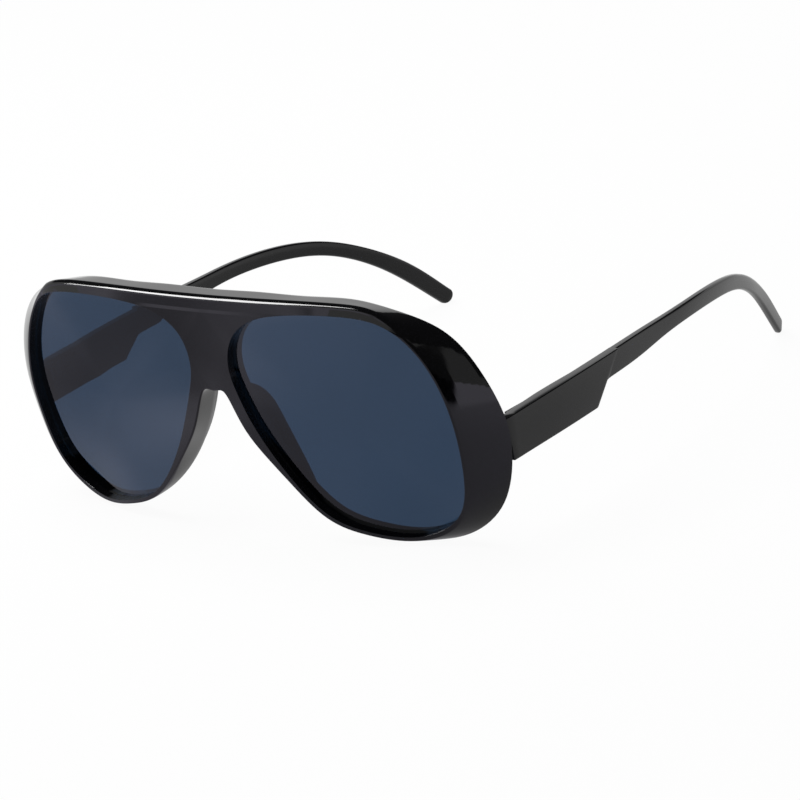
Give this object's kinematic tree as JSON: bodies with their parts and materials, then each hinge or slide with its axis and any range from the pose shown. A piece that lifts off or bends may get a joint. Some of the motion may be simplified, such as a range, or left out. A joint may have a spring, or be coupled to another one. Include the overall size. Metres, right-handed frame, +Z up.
{
  "type": "sunglasses",
  "caption": "Oversized flat-browed sunglasses with flared side rims, tinted lenses in grooves and folding hooked temples on screw hinges.",
  "frame": {"origin": "centre of the bounding box's floor: the glasses stand open on their rim bottoms and temple tips at Z = 0", "axes": "+X to the wearer's left, +Y from the front to the temple tips, +Z up"},
  "size_m": [0.1444, 0.1574, 0.0593],
  "materials": {
    "frame_plastic": "polished black injection-moulded plastic",
    "tinted_lens": "blue-grey tinted, polished",
    "pad_plastic": "polished black plastic",
    "temple_plastic": "polished black injection-moulded plastic",
    "hinge_metal": "black-plated nickel silver",
    "screw_metal": "blackened turned steel"
  },
  "bodies": {
    "front": {"front_frame": "frame_plastic", "lens_right": "tinted_lens", "nose_pad_right": "pad_plastic", "front_hinge_leaf_right": "hinge_metal", "pivot_screw_right": "screw_metal", "lens_left": "tinted_lens", "nose_pad_left": "pad_plastic", "front_hinge_leaf_left": "hinge_metal", "pivot_screw_left": "screw_metal"},
    "temple_right_arm": {"temple_right": "temple_plastic", "temple_hinge_leaf_right": "hinge_metal", "leaf_screws_right": "screw_metal"},
    "temple_left_arm": {"temple_left": "temple_plastic", "temple_hinge_leaf_left": "hinge_metal", "leaf_screws_left": "screw_metal"}
  },
  "joints": [
    {"name": "temple_right_fold", "type": "hinge", "parent": "front", "child": "temple_right_arm", "pos_m": [0.0666, -0.06146, 0.02696], "axis": [0, -0.0262, 0.9997], "range_deg": [0, 84]},
    {"name": "temple_left_fold", "type": "hinge", "parent": "front", "child": "temple_left_arm", "pos_m": [-0.0666, -0.06146, 0.02696], "axis": [0, 0.0262, -0.9997], "range_deg": [0, 75]}
  ]
}
